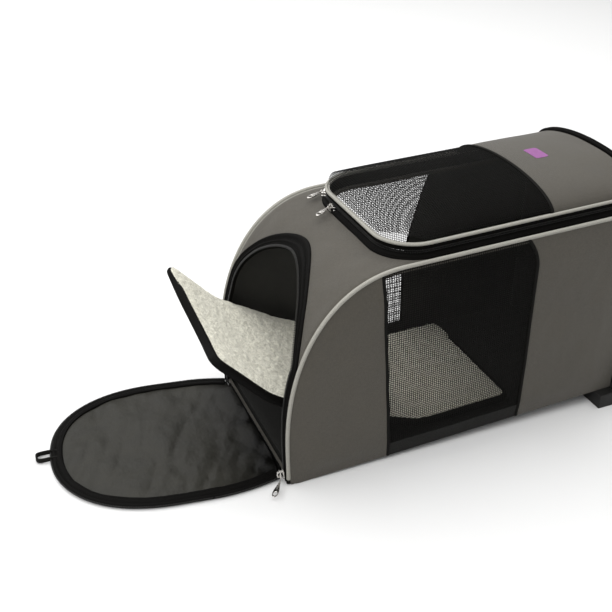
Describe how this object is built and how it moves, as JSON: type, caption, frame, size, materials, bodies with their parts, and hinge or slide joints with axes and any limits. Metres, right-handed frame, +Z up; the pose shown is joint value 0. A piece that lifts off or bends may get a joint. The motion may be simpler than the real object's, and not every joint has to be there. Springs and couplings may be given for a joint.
{
  "type": "pet carrier bag",
  "caption": "Soft-sided pet carrier bag lying on its back, arched zip door laid open, fleece pad drawn out, domed mesh flap on top, corner wheels",
  "frame": {"origin": "on the floor, under the middle of the bounding box of the whole part in its open rest pose", "axes": "+X runs from the door end to the base end, +Y to the far side panel, +Z up from the floor"},
  "size_m": [0.6946, 0.2378, 0.2951],
  "materials": {
    "grey_fabric": "woven polyester canvas, mid grey",
    "black_mesh": "open black polyester mesh",
    "black_fabric": "plain black polyester",
    "lining": "coated charcoal lining, soft shine",
    "black_binding": "ribbed black binding tape",
    "piping": "light grey piping cord",
    "zipper_tape": "black zipper tape with nylon coil",
    "webbing": "black webbing",
    "board": "dark fibre board",
    "black_plastic": "moulded black plastic",
    "axle_steel": "plain steel",
    "tyre": "black rubber",
    "hub_plastic": "moulded dark grey plastic",
    "badge_print": "purple thread",
    "zipper_metal": "nickel-plated zinc",
    "fleece": "off-white sherpa fleece"
  },
  "bodies": {
    "bag": {"body_band": "grey_fabric", "side_front_near": "grey_fabric", "side_rear_near": "grey_fabric", "side_front_far": "grey_fabric", "side_rear_far": "grey_fabric", "window_near": "black_mesh", "window_far": "black_mesh", "window_sill_near": "black_fabric", "window_sill_far": "black_fabric", "window_binding_near": "black_binding", "window_binding_far": "black_binding", "piping_near": "piping", "piping_far": "piping", "back_panel": "black_fabric", "floor_board": "board", "base_panel": "grey_fabric", "base_board": "board", "base_rim": "black_binding", "door_zip": "zipper_tape", "door_sill_tape": "zipper_tape", "lid_zip_lower": "zipper_tape", "lid_root_fabric": "grey_fabric", "housing_near": "black_plastic", "housing_far": "black_plastic", "axle_near": "axle_steel", "axle_far": "axle_steel"},
    "door_lower": {"door_lower": "lining", "door_rim_lower": "black_binding"},
    "door_upper": {"door_upper": "lining", "door_rim_upper": "black_binding", "door_loop": "webbing"},
    "top_flap": {"lid_mesh": "black_mesh", "lid_fabric": "grey_fabric", "lid_divider": "black_binding", "lid_piping": "piping", "lid_zip_upper": "zipper_tape", "lid_mark": "badge_print"},
    "slider_front": {"slider_front": "zipper_metal"},
    "pull_front": {"pull_front": "zipper_metal"},
    "slider_corner": {"slider_corner": "zipper_metal"},
    "pull_corner": {"pull_corner": "zipper_metal"},
    "slider_door": {"slider_door": "zipper_metal"},
    "pull_door": {"pull_door": "zipper_metal"},
    "wheel_near": {"tyre_near": "tyre", "hub_near": "hub_plastic"},
    "wheel_far": {"tyre_far": "tyre", "hub_far": "hub_plastic"},
    "pad_0": {"pad_0": "fleece", "pad_binding_0": "black_binding"},
    "pad_1": {"pad_1": "fleece", "pad_binding_1": "black_binding"},
    "pad_2": {"pad_2": "fleece", "pad_binding_2": "black_binding"},
    "pad_3": {"pad_3": "fleece", "pad_binding_3": "black_binding"}
  },
  "joints": [
    {"name": "door_hinge", "type": "hinge", "parent": "bag", "child": "door_lower", "pos_m": [-0.11284, 0.00077, 0.0045], "axis": [0.0678, 0.9952, 0.071], "range_deg": [0, 87.66]},
    {"name": "door_crease", "type": "hinge", "parent": "door_lower", "child": "door_upper", "pos_m": [-0.23668, 0.01773, 0.0055], "axis": [0.1357, 0.9907, 0], "range_deg": [0, 30]},
    {"name": "top_flap_hinge", "type": "hinge", "parent": "bag", "child": "top_flap", "pos_m": [0.27896, 0.00077, 0.29302], "axis": [0, 1, 0], "range_deg": [0, 140]},
    {"name": "front_slider_slide", "type": "slide", "parent": "bag", "child": "slider_front", "axis": [0, 1, 0], "range_m": [-0.085, 0.004]},
    {"name": "front_pull_hinge", "type": "hinge", "parent": "slider_front", "child": "pull_front", "pos_m": [-0.00906, 0.04077, 0.24199], "axis": [0, 1, 0], "range_deg": [0, 110]},
    {"name": "corner_slider_turn", "type": "hinge", "parent": "bag", "child": "slider_corner", "pos_m": [0.04093, 0.05077, 0.24018], "axis": [-0.0458, 0, 0.999], "range_deg": [-50, 12]},
    {"name": "corner_pull_hinge", "type": "hinge", "parent": "slider_corner", "child": "pull_corner", "pos_m": [0.0015, 0.08146, 0.24247], "axis": [0.615, 0.788, 0.0282], "range_deg": [0, 94]},
    {"name": "door_slider_slide", "type": "slide", "parent": "bag", "child": "slider_door", "axis": [0.0458, 0, -0.999], "range_m": [-0.1, 0]},
    {"name": "door_pull_hinge", "type": "hinge", "parent": "slider_door", "child": "pull_door", "pos_m": [-0.11776, -0.09976, 0.00597], "axis": [0.7872, -0.6157, 0.0361], "range_deg": [-78, 0]},
    {"name": "near_wheel_spin", "type": "hinge", "parent": "bag", "child": "wheel_near", "pos_m": [0.32729, -0.09873, 0.0203], "axis": [0, 1, 0], "continuous": true},
    {"name": "far_wheel_spin", "type": "hinge", "parent": "bag", "child": "wheel_far", "pos_m": [0.32729, 0.10027, 0.0203], "axis": [0, 1, 0], "continuous": true},
    {"name": "pad_slide", "type": "slide", "parent": "bag", "child": "pad_0", "axis": [0.999, 0, 0.0458], "range_m": [0, 0.1235]},
    {"name": "pad_bend_1", "type": "hinge", "parent": "pad_0", "child": "pad_1", "pos_m": [0.056, 0.00077, 0.02044], "axis": [0, 1, 0], "range_deg": [-23.5, 0]},
    {"name": "pad_bend_2", "type": "hinge", "parent": "pad_1", "child": "pad_2", "pos_m": [-0.05098, 0.00077, 0.06124], "axis": [0, 1, 0], "range_deg": [-9.5, 0]},
    {"name": "pad_bend_3", "type": "hinge", "parent": "pad_2", "child": "pad_3", "pos_m": [-0.12302, 0.00077, 0.10347], "axis": [0, 1, 0], "range_deg": [-15, 0]}
  ],
  "couplings": [
    {"joint": "door_crease", "follows": "door_hinge", "ratio": 0.34109},
    {"joint": "pad_slide", "follows": "door_hinge", "m_per_rad": 0.080656},
    {"joint": "pad_bend_1", "follows": "door_hinge", "ratio": -0.26751},
    {"joint": "pad_bend_2", "follows": "door_hinge", "ratio": -0.1078},
    {"joint": "pad_bend_3", "follows": "door_hinge", "ratio": -0.17055}
  ]
}
